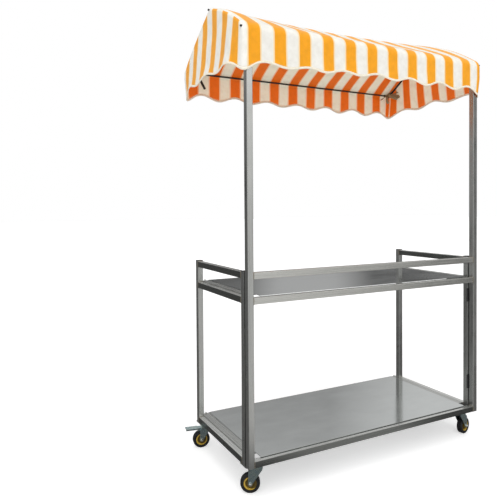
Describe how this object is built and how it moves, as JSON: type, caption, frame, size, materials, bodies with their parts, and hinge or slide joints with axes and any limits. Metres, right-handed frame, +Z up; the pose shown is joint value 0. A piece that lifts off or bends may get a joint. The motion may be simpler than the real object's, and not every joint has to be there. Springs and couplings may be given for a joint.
{
  "type": "push vending cart",
  "caption": "Folding push vending cart: square-tube end frames hinged on a long front frame, counter, lower shelf, swivel casters and a lift-off striped canopy.",
  "frame": {"origin": "centre of the whole cart's box at floor level; X = 0 is the middle of the cart's width", "axes": "+Z up, +X to the right seen from the customer's side, -Y towards the customer's side with the tall front frame and its poles"},
  "size_m": [1.315, 0.62, 1.8943],
  "materials": {
    "stainless_tube": "fine brushed",
    "stainless_sheet": "polished",
    "zinc_steel": "zinc plated",
    "black_steel": "satin",
    "black_rod": "satin",
    "black_plastic": "matte",
    "wheel_core": "gloss",
    "tread": "matte",
    "striped_cloth": "woven polyester",
    "ribbon": "woven tape"
  },
  "bodies": {
    "front_frame": {"front_post_left": "stainless_tube", "front_post_right": "stainless_tube", "front_upper_rail": "stainless_tube", "front_counter_rail": "stainless_tube", "front_bottom_rail": "stainless_tube", "left_hinge_fixed_leaves": "black_steel", "left_hinge_pins": "black_steel", "right_hinge_fixed_leaves": "black_steel", "right_hinge_pins": "black_steel"},
    "left_end": {"left_front_post": "stainless_tube", "left_back_post": "stainless_tube", "left_top_rail": "stainless_tube", "left_counter_rail": "stainless_tube", "left_bottom_rail": "stainless_tube", "left_ledges": "stainless_tube", "left_post_caps": "black_plastic", "left_caster_pads": "stainless_tube", "left_hinge_swing_leaves": "black_steel", "left_caster_screws": "zinc_steel", "left_front_caster_plate": "zinc_steel", "left_back_caster_plate": "zinc_steel"},
    "right_end": {"right_front_post": "stainless_tube", "right_back_post": "stainless_tube", "right_top_rail": "stainless_tube", "right_counter_rail": "stainless_tube", "right_bottom_rail": "stainless_tube", "right_ledges": "stainless_tube", "right_post_caps": "black_plastic", "right_caster_pads": "stainless_tube", "right_hinge_swing_leaves": "black_steel", "right_caster_screws": "zinc_steel", "right_front_caster_plate": "zinc_steel", "right_back_caster_plate": "zinc_steel"},
    "counter": {"counter_panel": "stainless_sheet"},
    "shelf": {"lower_shelf": "stainless_sheet"},
    "canopy": {"canopy_pole_left": "stainless_tube", "canopy_pole_right": "stainless_tube", "canopy_pole_caps": "black_plastic", "canopy_side_arms": "black_rod", "canopy_cross_rods": "black_rod", "canopy_cover": "striped_cloth", "cover_ties": "ribbon"},
    "left_front_swivel": {"left_front_caster_fork": "zinc_steel", "left_front_axle": "zinc_steel"},
    "left_front_wheel": {"left_front_wheel_core": "wheel_core", "left_front_tread": "tread"},
    "left_back_swivel": {"left_back_caster_fork": "zinc_steel", "left_back_axle": "zinc_steel"},
    "left_back_wheel": {"left_back_wheel_core": "wheel_core", "left_back_tread": "tread"},
    "left_brake": {"left_back_brake_pedal": "zinc_steel"},
    "right_front_swivel": {"right_front_caster_fork": "zinc_steel", "right_front_axle": "zinc_steel"},
    "right_front_wheel": {"right_front_wheel_core": "wheel_core", "right_front_tread": "tread"},
    "right_back_swivel": {"right_back_caster_fork": "zinc_steel", "right_back_axle": "zinc_steel"},
    "right_back_wheel": {"right_back_wheel_core": "wheel_core", "right_back_tread": "tread"},
    "right_brake": {"right_back_brake_pedal": "zinc_steel"}
  },
  "joints": [
    {"name": "left_fold", "type": "hinge", "parent": "front_frame", "child": "left_end", "pos_m": [-0.571, -0.272, 0.45], "axis": [0, 0, -1], "range_deg": [0, 90]},
    {"name": "right_fold", "type": "hinge", "parent": "front_frame", "child": "right_end", "pos_m": [0.571, -0.272, 0.45], "axis": [0, 0, 1], "range_deg": [0, 90]},
    {"name": "counter_out", "type": "slide", "parent": "front_frame", "child": "counter", "axis": [0, -1, 0], "range_m": [0, 0.582]},
    {"name": "shelf_out", "type": "slide", "parent": "front_frame", "child": "shelf", "axis": [0, -1, 0], "range_m": [0, 0.582]},
    {"name": "canopy_lift", "type": "slide", "parent": "front_frame", "child": "canopy", "axis": [0, 0, 1], "range_m": [0, 0.13]},
    {"name": "left_front_turn", "type": "hinge", "parent": "left_end", "child": "left_front_swivel", "pos_m": [-0.546, -0.253, 0.1], "axis": [0, 0, 1], "continuous": true},
    {"name": "left_front_spin", "type": "hinge", "parent": "left_front_swivel", "child": "left_front_wheel", "pos_m": [-0.5656, -0.24301, 0.0375], "axis": [-0.454, -0.891, 0], "continuous": true},
    {"name": "left_back_turn", "type": "hinge", "parent": "left_end", "child": "left_back_swivel", "pos_m": [-0.564, 0.199, 0.1], "axis": [0, 0, 1], "continuous": true},
    {"name": "left_back_spin", "type": "hinge", "parent": "left_back_swivel", "child": "left_back_wheel", "pos_m": [-0.58552, 0.20357, 0.0375], "axis": [-0.2079, -0.9781, 0], "continuous": true},
    {"name": "left_brake_press", "type": "hinge", "parent": "left_back_swivel", "child": "left_brake", "pos_m": [-0.58063, 0.20253, 0.086], "axis": [-0.2079, -0.9781, 0], "range_deg": [0, 10], "stiffness_Nm_per_rad": 2},
    {"name": "right_front_turn", "type": "hinge", "parent": "right_end", "child": "right_front_swivel", "pos_m": [0.546, -0.253, 0.1], "axis": [0, 0, 1], "continuous": true},
    {"name": "right_front_spin", "type": "hinge", "parent": "right_front_swivel", "child": "right_front_wheel", "pos_m": [0.56752, -0.24843, 0.0375], "axis": [-0.2079, 0.9781, 0], "continuous": true},
    {"name": "right_back_turn", "type": "hinge", "parent": "right_end", "child": "right_back_swivel", "pos_m": [0.564, 0.199, 0.1], "axis": [0, 0, 1], "continuous": true},
    {"name": "right_back_spin", "type": "hinge", "parent": "right_back_swivel", "child": "right_back_wheel", "pos_m": [0.58552, 0.20357, 0.0375], "axis": [-0.2079, 0.9781, 0], "continuous": true},
    {"name": "right_brake_press", "type": "hinge", "parent": "right_back_swivel", "child": "right_brake", "pos_m": [0.58063, 0.20253, 0.086], "axis": [-0.2079, 0.9781, 0], "range_deg": [0, 10], "stiffness_Nm_per_rad": 2}
  ],
  "couplings": [
    {"joint": "right_fold", "follows": "left_fold", "ratio": 1},
    {"joint": "counter_out", "follows": "left_fold", "m_per_rad": 0.36924},
    {"joint": "shelf_out", "follows": "left_fold", "m_per_rad": 0.36924}
  ]
}
